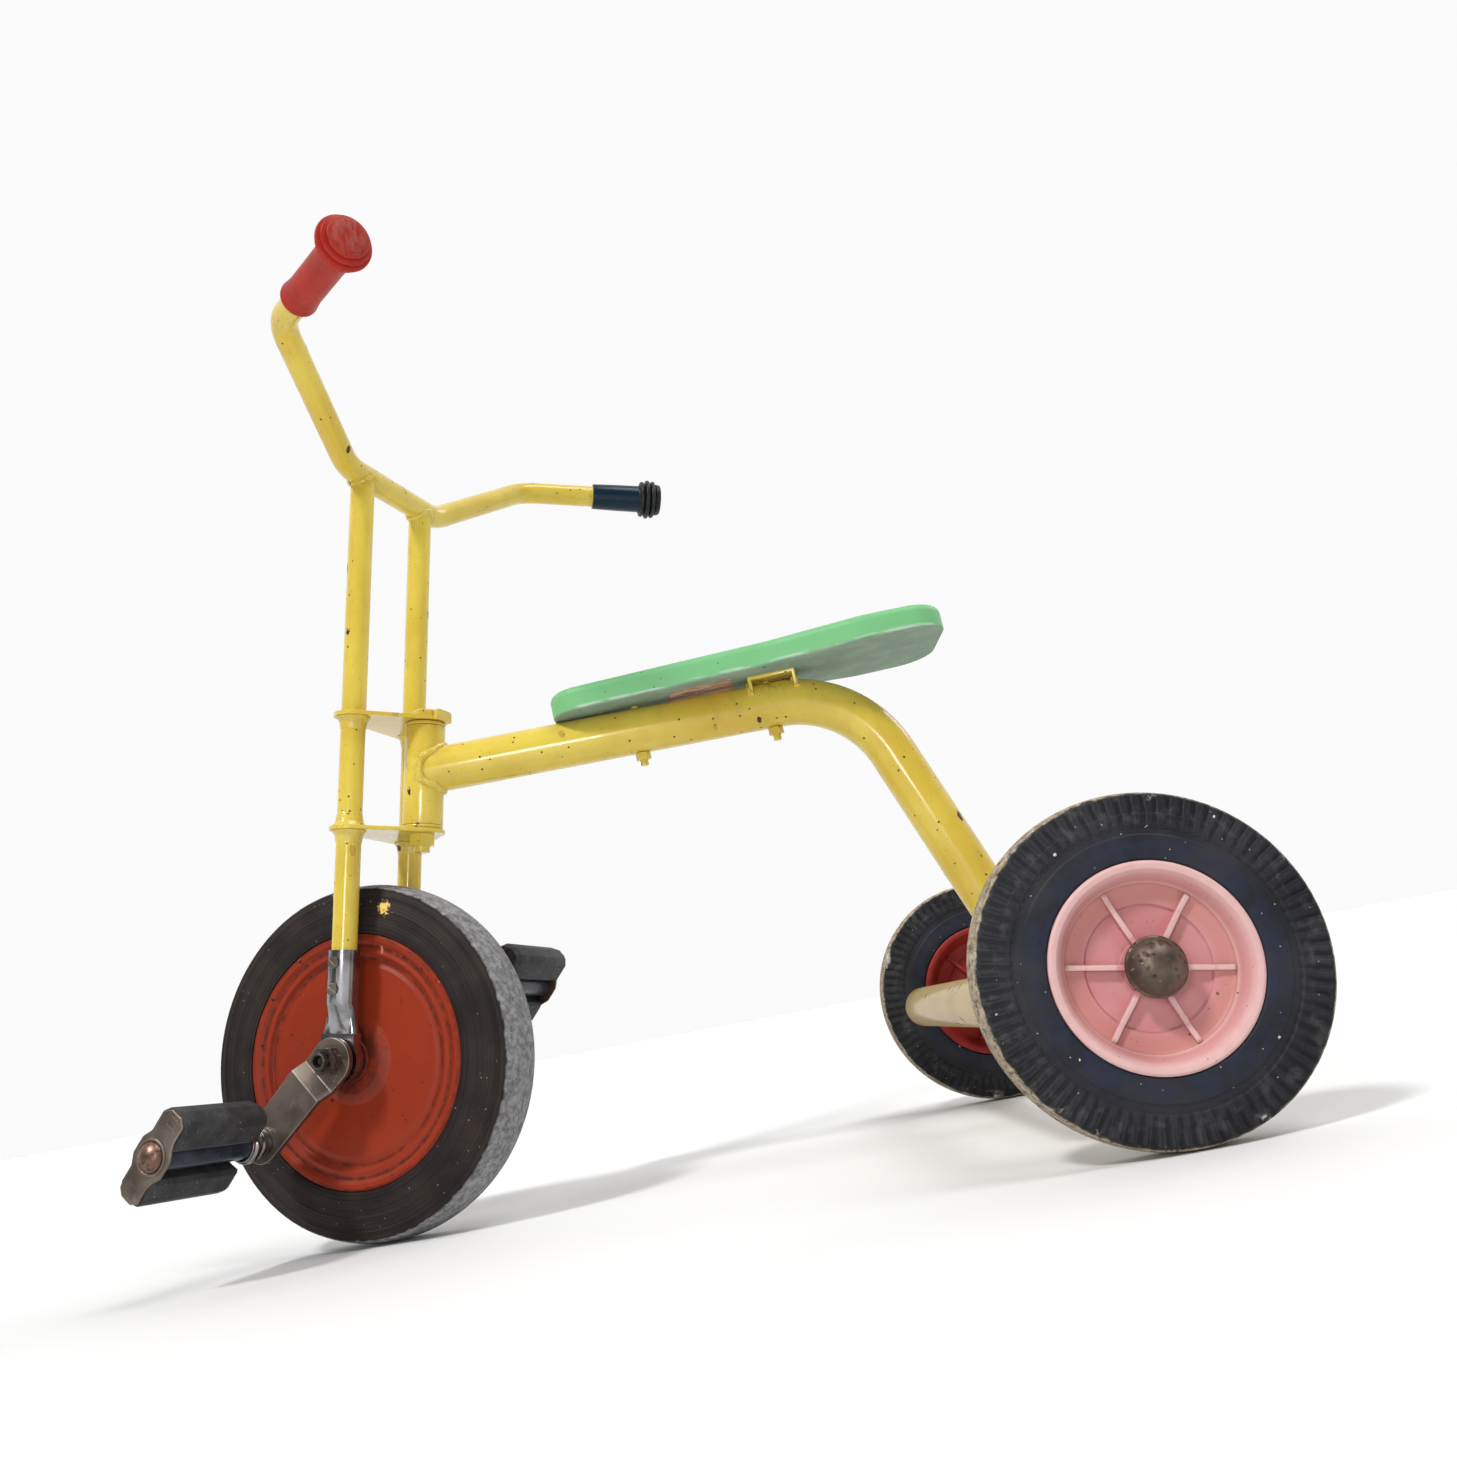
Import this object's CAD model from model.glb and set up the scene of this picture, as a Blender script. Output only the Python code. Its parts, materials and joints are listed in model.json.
"""A worn child's tricycle: the finished surfaces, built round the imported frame.

Shapes are drawn in millimetres in the place they belong to and end up in metres.
"""

import json
import math

import bmesh
import bpy
from bpy.props import FloatProperty, FloatVectorProperty, IntProperty, PointerProperty
from mathutils import Matrix, Vector


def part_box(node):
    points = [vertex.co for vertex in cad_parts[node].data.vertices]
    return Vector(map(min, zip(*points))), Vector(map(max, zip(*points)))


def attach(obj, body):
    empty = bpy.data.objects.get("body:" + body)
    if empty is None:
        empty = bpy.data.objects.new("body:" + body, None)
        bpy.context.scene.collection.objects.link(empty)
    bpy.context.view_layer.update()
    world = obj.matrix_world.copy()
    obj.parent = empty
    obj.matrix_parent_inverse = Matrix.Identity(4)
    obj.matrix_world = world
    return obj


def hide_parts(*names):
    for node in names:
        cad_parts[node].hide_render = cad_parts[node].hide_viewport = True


bl_info = {
    "name": "Worn tricycle",
    "version": (1, 0, 0),
    "blender": (4, 5, 0),
    "location": "3D View > Sidebar > Tricycle",
    "description": "Builds the finished surfaces of a child's tricycle piece by piece",
    "category": "Add Mesh",
}

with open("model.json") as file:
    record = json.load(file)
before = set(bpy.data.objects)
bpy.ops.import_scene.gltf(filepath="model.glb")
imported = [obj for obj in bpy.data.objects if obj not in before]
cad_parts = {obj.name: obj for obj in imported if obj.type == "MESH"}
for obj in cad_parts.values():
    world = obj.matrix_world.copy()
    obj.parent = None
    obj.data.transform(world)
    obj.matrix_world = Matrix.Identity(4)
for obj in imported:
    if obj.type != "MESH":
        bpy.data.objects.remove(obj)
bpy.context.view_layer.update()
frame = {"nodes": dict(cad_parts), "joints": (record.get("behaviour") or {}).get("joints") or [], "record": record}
JOINTS = {joint["name"]: joint for joint in frame["joints"]}
MOUNTS = {mount["name"]: mount for mount in frame["record"]["mounts"]}
MM = 0.001
SIDES = {"left": 1, "right": -1}


# ---- places, all read from the frame ----


def place_at(origin, along, up):
    """The matrix of a place: its origin, its x direction and its z direction."""
    up = Vector(up).normalized()
    along = Vector(along)
    along = (along - up * along.dot(up)).normalized()
    turn = Matrix((along, up.cross(along), up)).transposed()
    return Matrix.Translation(Vector(origin)) @ turn.to_4x4()


STEER_POINT = Vector(JOINTS["steering"]["pos_m"])
STEER_AXIS = Vector(JOINTS["steering"]["axis"]).normalized()
ACROSS = Vector(JOINTS["front_wheel_spin"]["axis"]).normalized()
FORWARD = ACROSS.cross(STEER_AXIS).normalized()
FRONT_AXLE = Vector(JOINTS["front_wheel_spin"]["pos_m"])
REAR_AXLE = {side: Vector(JOINTS[f"rear_wheel_{side}_spin"]["pos_m"]) for side in SIDES}
REAR_X = REAR_AXLE["left"].x
REAR_Z = REAR_AXLE["left"].z
STEERING = place_at(STEER_POINT, FORWARD, STEER_AXIS)
FRONT_WHEEL = {side: place_at(FRONT_AXLE, FORWARD, ACROSS * sign) for side, sign in SIDES.items()}
REAR_WHEEL = {side: place_at(REAR_AXLE[side], (1, 0, 0), (0, sign, 0)) for side, sign in SIDES.items()}
REAR_MIDDLE = place_at((REAR_X, 0, REAR_Z), (1, 0, 0), (0, 1, 0))
AXLE_LOCAL = STEERING.inverted() @ FRONT_AXLE / MM
TUBE_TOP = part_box("main_tube")[1].z
SEAT_UP = Vector(MOUNTS["seat_top"]["axis"]).normalized()
SEAT_BACK = Vector((-SEAT_UP.z, 0, SEAT_UP.x))
SEAT_THICK = 19.0
RIB_TURN = math.radians(10)

# Heights up the steering axis, in millimetres: the head tube's ends and the handlebar's middle.
HEAD_LOW = 200.5
HEAD_HIGH = 277.0
CROWN = 475.5

# Distances, in millimetres: each fork tube and each crank's outer face from the middle, each grip's length.
FORK_HALF = 40.5
PEDAL_FACE = 60.4
GRIP_LENGTH = {"left": 92, "right": 62}

# How far the pedals are turned from the steering head's forward direction, in degrees.
PEDAL_TURN = 125.0

MATERIALS = {}


class TricycleSizes(bpy.types.PropertyGroup):
    """Sizes that set the tubes, wheels and fittings, in metres."""

    main_tube_radius: FloatProperty(
        name="Main tube radius", description="Outer radius of the main tube", default=0.0175, unit="LENGTH"
    )
    step_tube_radius: FloatProperty(
        name="Step bar radius", description="Outer radius of the step bar", default=0.016, unit="LENGTH"
    )
    fork_tube_radius: FloatProperty(
        name="Fork tube radius", description="Outer radius of each fork tube", default=0.0093, unit="LENGTH"
    )
    bar_radius: FloatProperty(
        name="Handlebar radius", description="Outer radius of the handlebar", default=0.0095, unit="LENGTH"
    )
    head_tube_radius: FloatProperty(
        name="Head tube radius", description="Outer radius of the head tube", default=0.0153, unit="LENGTH"
    )
    weld_radius: FloatProperty(
        name="Weld radius", description="Thickness of a weld bead", default=0.0026, unit="LENGTH"
    )
    front_radius: FloatProperty(
        name="Front wheel radius", description="Outer radius of the front tyre", default=0.129, unit="LENGTH"
    )
    rear_radius: FloatProperty(
        name="Rear wheel radius", description="Outer radius of the rear tyres", default=REAR_Z, unit="LENGTH"
    )
    rib_count: IntProperty(name="Hub ribs", description="Ribs on each face of a rear hub", default=6, min=3)
    block_count: IntProperty(
        name="Shoulder blocks", description="Blocks round each shoulder of a rear tyre", default=80, min=12
    )


class TricycleColours(bpy.types.PropertyGroup):
    """Base colours of the finishes, as linear colour."""

    paint: FloatVectorProperty(
        name="Paint",
        description="Enamel on the tubes",
        subtype="COLOR",
        size=3,
        default=(0.66, 0.51, 0.075),
    )
    seat: FloatVectorProperty(
        name="Seat",
        description="Paint on the seat board",
        subtype="COLOR",
        size=3,
        default=(0.17, 0.46, 0.20),
    )
    red_grip: FloatVectorProperty(
        name="Red grip",
        description="Plastic of the left grip",
        subtype="COLOR",
        size=3,
        default=(0.30, 0.014, 0.006),
    )
    navy_grip: FloatVectorProperty(
        name="Navy grip",
        description="Plastic of the right grip",
        subtype="COLOR",
        size=3,
        default=(0.006, 0.018, 0.034),
    )
    disc: FloatVectorProperty(
        name="Wheel disc",
        description="Enamel on the front wheel",
        subtype="COLOR",
        size=3,
        default=(0.235, 0.024, 0.007),
    )
    hub: FloatVectorProperty(
        name="Hub",
        description="Plastic of the rear hubs",
        subtype="COLOR",
        size=3,
        default=(0.24, 0.016, 0.012),
    )
    faded_hub: FloatVectorProperty(
        name="Faded hub",
        description="The same plastic where it has faded",
        subtype="COLOR",
        size=3,
        default=(0.52, 0.20, 0.205),
    )


# ---- shapes ----


def eased(points, steps=3, closed=True):
    """The outline with each corner rounded to the radius that is its last number."""
    line = []
    count = len(points)
    for i, (*spot, radius) in enumerate(points):
        here = Vector(spot)
        if radius == 0 or (not closed and i in (0, count - 1)):
            line.append(here)
            continue
        back = Vector(points[i - 1][:-1]) - here
        ahead = Vector(points[(i + 1) % count][:-1]) - here
        half = back.angle(ahead) / 2
        cut = min(radius / math.tan(half), 0.48 * back.length, 0.48 * ahead.length)
        middle = (back.normalized() + ahead.normalized()).normalized()
        centre = here + middle * (cut / math.cos(half))
        start = here + back.normalized() * cut - centre
        end = here + ahead.normalized() * cut - centre
        sweep = start.angle(end)
        for k in range(steps + 1):
            t = k / steps
            blend = start * math.sin((1 - t) * sweep) + end * math.sin(t * sweep)
            line.append(centre + blend / math.sin(sweep))
    return line


def arc(centre, radius, start, end, steps=10):
    """Outline points on an arc, in degrees, none of them rounded."""
    cx, cy = centre
    angles = [math.radians(start + (end - start) * k / steps) for k in range(steps + 1)]
    return [(cx + radius * math.cos(a), cy + radius * math.sin(a), 0) for a in angles]


def dome(radius, height, base, steps=10):
    """Outline of a shallow dome from its rim to its top on the axis."""
    ball = (radius**2 + height**2) / (2 * height)
    reach = math.degrees(math.asin(min(1, radius / ball)))
    line = arc((0, base + height - ball), ball, 90 - reach, 90, steps)
    return line[:-1] + [(0, base + height, 0)]
def mirrored(face):
    """The outline of one face, of (radius, height, corner radius), and its mirror image."""
    return face + [(r, -z, c) for r, z, c in reversed(face)]


def crowned(outer, half_width, steps, crown=60.0):
    """Outline of a tread that bulges out to the outer radius."""
    reach = math.degrees(math.asin(half_width / crown))
    return arc((outer - crown, 0), crown, -reach, reach, steps)

def turned(outline, steps=96, rounding=3):
    """A solid turned about z from a closed outline of (radius, height, corner radius)."""
    bm = bmesh.new()
    rows = []
    for r, z in eased(outline, rounding):
        angles = [math.tau * k / steps for k in range(steps)]
        rows.append([bm.verts.new((r * math.cos(a), r * math.sin(a), z)) for a in angles])
    for row, after in zip(rows, rows[1:] + rows[:1]):
        on_axis = row[0].co.xy.length + after[0].co.xy.length < 1e-6
        for k in range(0 if on_axis else steps):
            following = (k + 1) % steps
            bm.faces.new((row[k], row[following], after[following], after[k]))
    bmesh.ops.remove_doubles(bm, verts=bm.verts, dist=1e-4)
    return bm


def loops_to_solid(loops):
    """A closed solid through loops of points of the same number, its ends filled."""
    bm = bmesh.new()
    rings = [[bm.verts.new(p) for p in loop] for loop in loops]
    for ring, after in zip(rings, rings[1:]):
        for k in range(len(ring)):
            following = (k + 1) % len(ring)
            bm.faces.new((ring[k], ring[following], after[following], after[k]))
    bm.faces.new(rings[0])
    bm.faces.new(rings[-1])
    return bm


def inset_loop(outline, inset, height):
    """The outline moved inwards by inset, at a height."""
    count = len(outline)
    area = sum(outline[i - 1].cross(outline[i]) for i in range(count))
    sign = 1 if area > 0 else -1
    loop = []
    for i, here in enumerate(outline):
        run = (outline[(i + 1) % count] - outline[i - 1]).normalized()
        inward = Vector((-run.y, run.x)) * sign
        moved = here + inward * inset
        loop.append((moved.x, moved.y, height))
    return loop


def slab(outline, levels):
    """A plate from an outline, through (inset, height) levels."""
    return loops_to_solid([inset_loop(outline, inset, height) for inset, height in levels])


def rounded_levels(low, high, low_round, high_round, steps=4):
    """Levels of a plate whose bottom and top edges are rounded."""
    levels = []
    for k in range(steps + 1):
        a = math.radians(90 * k / steps)
        levels.append((low_round * (1 - math.sin(a)), low + low_round * (1 - math.cos(a))))
    for k in range(steps + 1):
        a = math.radians(90 * k / steps)
        levels.append((high_round * (1 - math.cos(a)), high - high_round * (1 - math.sin(a))))
    return levels


def block(length, width, height, edge=0.3):
    """A small block, centred on the origin, with chamfered edges."""
    x, y, z = length / 2, width / 2, height / 2
    outline = [Vector(p) for p in ((x, y), (-x, y), (-x, -y), (x, -y))]
    return slab(outline, [(edge, -z), (0, -z + edge), (0, z - edge), (edge, z)])


def joined(*solids):
    """Several solids as one mesh, each left as it is."""
    first = solids[0]
    for other in solids[1:]:
        spare = bpy.data.meshes.new("spare")
        other.to_mesh(spare)
        other.free()
        first.from_mesh(spare)
        bpy.data.meshes.remove(spare)
    return first


def moved(bm, *places):
    """The solid after each place in turn."""
    for place in places:
        bmesh.ops.transform(bm, matrix=place, verts=bm.verts)
    return bm


def linked(name, data):
    """A new object in the scene."""
    obj = bpy.data.objects.new(name, data)
    bpy.context.scene.collection.objects.link(obj)
    return obj


def thing(name, bm, place=None, scale=MM, crease=35, finish=None):
    """A new object from a solid, in its place, smooth but for edges sharper than crease."""
    bmesh.ops.recalc_face_normals(bm, faces=bm.faces)
    mesh = bpy.data.meshes.new(name)
    bm.to_mesh(mesh)
    bm.free()
    mesh.transform(Matrix.Scale(scale, 4))
    if place is not None:
        mesh.transform(place)
    if finish:
        mesh.materials.append(MATERIALS[finish])
    obj = linked(name, mesh)
    shade(obj, crease)
    return obj


def shade(obj, crease=35):
    """Smooth shading, broken at sharp edges."""
    obj.data.shade_smooth()
    obj.data.set_sharp_from_angle(angle=math.radians(crease))


def fit(obj, body, slot, finish, *nodes):
    """Give a piece its finish, hang it on its body and say which CAD nodes it replaces."""
    if finish:
        obj.data.materials.clear()
        obj.data.materials.append(MATERIALS[finish])
    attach(obj, body)
    if nodes:
        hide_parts(*nodes)


def refined(node, edge=0.35, segments=2, crease=40):
    """A copy of a CAD node with merged faces and small rounded edges."""
    bm = bmesh.new()
    bm.from_mesh(frame["nodes"][node].data)
    bmesh.ops.remove_doubles(bm, verts=bm.verts, dist=1e-6)
    bmesh.ops.dissolve_limit(bm, angle_limit=math.radians(0.6), verts=bm.verts, edges=bm.edges)
    obj = thing(f"{node}_finished", bm, scale=1.0, crease=crease)
    bevel = obj.modifiers.new("edges", "BEVEL")
    bevel.width = edge * MM
    bevel.segments = segments
    bevel.limit_method = "ANGLE"
    bevel.angle_limit = math.radians(crease)
    bevel.harden_normals = True
    return plain(obj)


def refit(node, body, slot, finish, edge=0.35, segments=2):
    """A CAD node's own shape, refined, in its place."""
    fit(refined(node, edge, segments), body, slot, finish, node)


def lathe(node, look, outline, place, body, slot, finish, steps=64, rounding=3, crease=35):
    """A turned piece in place of a CAD node."""
    piece = thing(f"{node}_{look}", turned(outline, steps, rounding), place, crease=crease)
    fit(piece, body, slot, finish, node)


def assemble(node, look, parts, body, slot, finish):
    """Several parts as one piece in place of a CAD node."""
    fit(merged(f"{node}_{look}", *parts), body, slot, finish, node)


def plain(obj):
    """The object with its modifiers turned into plain mesh."""
    bpy.context.view_layer.update()
    graph = bpy.context.evaluated_depsgraph_get()
    mesh = bpy.data.meshes.new_from_object(obj.evaluated_get(graph), depsgraph=graph)
    mesh.name = obj.name
    old = obj.data
    obj.modifiers.clear()
    obj.data = mesh
    bpy.data.meshes.remove(old)
    return obj


# ---- node trees that make what repeats or follows a path ----


class Tree:
    """A Geometry Nodes tree under construction."""

    def __init__(self, name, **sockets):
        self.group = bpy.data.node_groups.new(name, "GeometryNodeTree")
        side = self.group.interface
        side.new_socket("Geometry", in_out="OUTPUT", socket_type="NodeSocketGeometry")
        side.new_socket("Geometry", in_out="INPUT", socket_type="NodeSocketGeometry")
        self.sockets = {}
        for label, kind in sockets.items():
            socket = side.new_socket(label, in_out="INPUT", socket_type=f"NodeSocket{kind}")
            self.sockets[label] = socket.identifier
        self.inputs = self.group.nodes.new("NodeGroupInput").outputs
        self.result = self.group.nodes.new("NodeGroupOutput")

    def add(self, kind, settings=None, links=None):
        """One node with its settings, then the values or links of its sockets."""
        node = self.group.nodes.new(kind)
        for key, value in (settings or {}).items():
            setattr(node, key, value)
        for key, value in (links or {}).items():
            if isinstance(value, bpy.types.NodeSocket):
                self.group.links.new(value, node.inputs[key])
            else:
                node.inputs[key].default_value = value
        return node.outputs[0] if node.outputs else None

    def math(self, operation, first, second):
        """One Math node."""
        return self.add("ShaderNodeMath", {"operation": operation}, {0: first, 1: second})

    def scaled(self, vector, factor):
        """A vector times a number."""
        return self.add("ShaderNodeVectorMath", {"operation": "SCALE"}, {0: vector, "Scale": factor})

    def end(self, geometry):
        """Close the tree: real geometry with its material."""
        real = self.add("GeometryNodeRealizeInstances", links={0: geometry})
        inputs = {"Geometry": real, "Material": self.inputs["material"]}
        painted = self.add("GeometryNodeSetMaterial", links=inputs)
        self.group.links.new(painted, self.result.inputs[0])
        return self

    def run(self, obj, crease=35, **values):
        """Apply the tree to an object and leave a plain mesh."""
        modifier = obj.modifiers.new(self.group.name, "NODES")
        modifier.node_group = self.group
        for label, value in values.items():
            modifier[self.sockets[label]] = value
        plain(obj)
        shade(obj, crease)
        return obj


def tube_tree():
    """A round bar along a path, its surface rippled where it is a weld."""
    tree = Tree(
        "round_along_path",
        radius="Float",
        sides="Int",
        ripple="Float",
        ripple_length="Float",
        seed="Float",
        material="Material",
    )
    path = tree.add("GeometryNodeMeshToCurve", links={"Mesh": tree.inputs["Geometry"]})
    inputs = {"Resolution": tree.inputs["sides"], "Radius": tree.inputs["radius"]}
    section = tree.add("GeometryNodeCurvePrimitiveCircle", links=inputs)
    inputs = {"Curve": path, "Profile Curve": section, "Fill Caps": True}
    bar = tree.add("GeometryNodeCurveToMesh", links=inputs)
    spot = tree.add("GeometryNodeInputPosition")
    fineness = tree.math("DIVIDE", 1.0, tree.inputs["ripple_length"])
    inputs = {"Vector": spot, "W": tree.inputs["seed"], "Scale": fineness, "Detail": 2.0}
    wave = tree.add("ShaderNodeTexNoise", {"noise_dimensions": "4D"}, inputs)
    inputs = {"Value": wave, "From Min": 0.3, "From Max": 0.7, "To Min": -1.0, "To Max": 1.0}
    swing = tree.add("ShaderNodeMapRange", links=inputs)
    depth = tree.math("MULTIPLY", swing, tree.inputs["ripple"])
    push = tree.scaled(tree.add("GeometryNodeInputNormal"), depth)
    tree.end(tree.add("GeometryNodeSetPosition", links={"Geometry": bar, "Offset": push}))
    return tree


def repeat_tree():
    """Copies of a piece, each one a step and a turn about z further on."""
    tree = Tree("steps_and_turns", count="Int", turn="Float", step="Vector", material="Material")
    number = tree.add("GeometryNodeInputIndex")
    spot = tree.scaled(tree.inputs["step"], number)
    angle = tree.math("MULTIPLY", number, tree.inputs["turn"])
    turn = tree.add("ShaderNodeCombineXYZ", links={"Z": angle})
    points = tree.add("GeometryNodePoints", links={"Count": tree.inputs["count"], "Position": spot})
    inputs = {"Points": points, "Instance": tree.inputs["Geometry"], "Rotation": turn}
    tree.end(tree.add("GeometryNodeInstanceOnPoints", links=inputs))
    return tree

TUBES = tube_tree()
REPEATS = repeat_tree()


def along(name, path, radius, finish, closed=False, sides=40, ripple=0.0, ripple_length=0.004, seed=0.0):
    """A round bar along points in metres, its skin rippled if ripple isn't 0."""
    bm = bmesh.new()
    verts = [bm.verts.new(p) for p in path]
    for a, b in zip(verts, verts[1:] + (verts[:1] if closed else [])):
        bm.edges.new((a, b))
    mesh = bpy.data.meshes.new(name)
    bm.to_mesh(mesh)
    bm.free()
    return TUBES.run(
        linked(name, mesh),
        crease=80 if ripple else 40,
        radius=radius,
        sides=sides,
        ripple=ripple,
        ripple_length=ripple_length,
        seed=seed,
        material=MATERIALS[finish],
    )


def bead(path, radius, sides=10, ripple=0.0008, ripple_length=0.004, seed=0.0, closed=True):
    """A weld bead along points in metres."""
    return along("bead", path, radius, "weld", closed, sides, ripple, ripple_length, seed)


def repeated(name, bm, place, finish, count, turn=0.0, step=(0, 0, 0)):
    """Copies of a small solid in a place: turn in radians, step in millimetres."""
    obj = thing(name, bm)
    REPEATS.run(obj, count=count, turn=turn, step=Vector(step) * MM, material=MATERIALS[finish])
    obj.data.transform(place)
    return obj


def merged(name, *objects):
    """Several objects as one piece."""
    bm = bmesh.new()
    materials = []
    for obj in objects:
        start = len(bm.faces)
        bm.from_mesh(obj.data)
        bm.faces.ensure_lookup_table()
        for face in bm.faces[start:]:
            used = obj.data.materials[face.material_index] if obj.data.materials else None
            if used not in materials:
                materials.append(used)
            face.material_index = materials.index(used)
        old = obj.data
        bpy.data.objects.remove(obj)
        bpy.data.meshes.remove(old)
    mesh = bpy.data.meshes.new(name)
    bm.to_mesh(mesh)
    bm.free()
    result = linked(name, mesh)
    for material in materials:
        mesh.materials.append(material)
    shade(result)
    return result


def saddle(start, direction, radius, point, axis, other_radius, count=56, relax=0):
    """Where a round bar meets a round tube: points on the bar's skin, in order."""
    direction = Vector(direction).normalized()
    axis = Vector(axis).normalized()
    side = direction.cross(axis).normalized()
    up = side.cross(direction)
    line = []
    for k in range(count):
        a = math.tau * k / count
        skin = Vector(start) + (side * math.cos(a) + up * math.sin(a)) * radius
        away = skin - Vector(point)
        flat = away - axis * away.dot(axis)
        run = direction - axis * direction.dot(axis)
        b = flat.dot(run)
        inside = b * b - run.length_squared * (flat.length_squared - other_radius**2)
        line.append(skin + direction * ((-b - math.sqrt(max(inside, 0))) / run.length_squared))
    for _ in range(relax):
        line = [(line[k - 1] + line[k] * 2 + line[(k + 1) % count]) / 4 for k in range(count)]
    return line


def ring_path(place, radius, height, count=48):
    """A circle of points about a place's z axis, in metres."""
    angles = [math.tau * k / count for k in range(count)]
    return [place @ Vector((radius * math.cos(a), radius * math.sin(a), height)) for a in angles]


# ---- finishes ----


def tone(red, green, blue):
    """Linear colour from display numbers of 0 to 255."""
    shares = [c / 255 for c in (red, green, blue)]
    return tuple(s / 12.92 if s <= 0.04045 else ((s + 0.055) / 1.055) ** 2.4 for s in shares)


class Value:
    """A number in a shader tree. Arithmetic on it adds Math nodes."""

    def __init__(self, finish, socket):
        self.finish = finish
        self.socket = socket

    def math(self, operation, other=0.0, third=0.0, clamp=False):
        settings = {"operation": operation, "use_clamp": clamp}
        return self.finish.add("ShaderNodeMath", settings, {0: self, 1: other, 2: third})

    def __add__(self, other):
        return self.math("ADD", other)

    def __mul__(self, other):
        return self.math("MULTIPLY", other)

    def __sub__(self, other):
        return self.math("SUBTRACT", other)

    def __rsub__(self, other):
        return self.math("MULTIPLY_ADD", -1.0, other)

    def __truediv__(self, other):
        return self.math("DIVIDE", other)

    __radd__ = __add__
    __rmul__ = __mul__

    def clip(self):
        return self.math("ADD", 0.0, clamp=True)

    def step(self, low, high):
        """0 below low, 1 above high, smooth between them."""
        inputs = {"Value": self, "From Min": low, "From Max": high}
        return self.finish.add("ShaderNodeMapRange", {"interpolation_type": "SMOOTHSTEP"}, inputs)

    def band(self, centre, width):
        """1 at centre, falling to 0 at width either side."""
        return 1 - (self - centre).math("ABSOLUTE").step(0.0, width)


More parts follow.
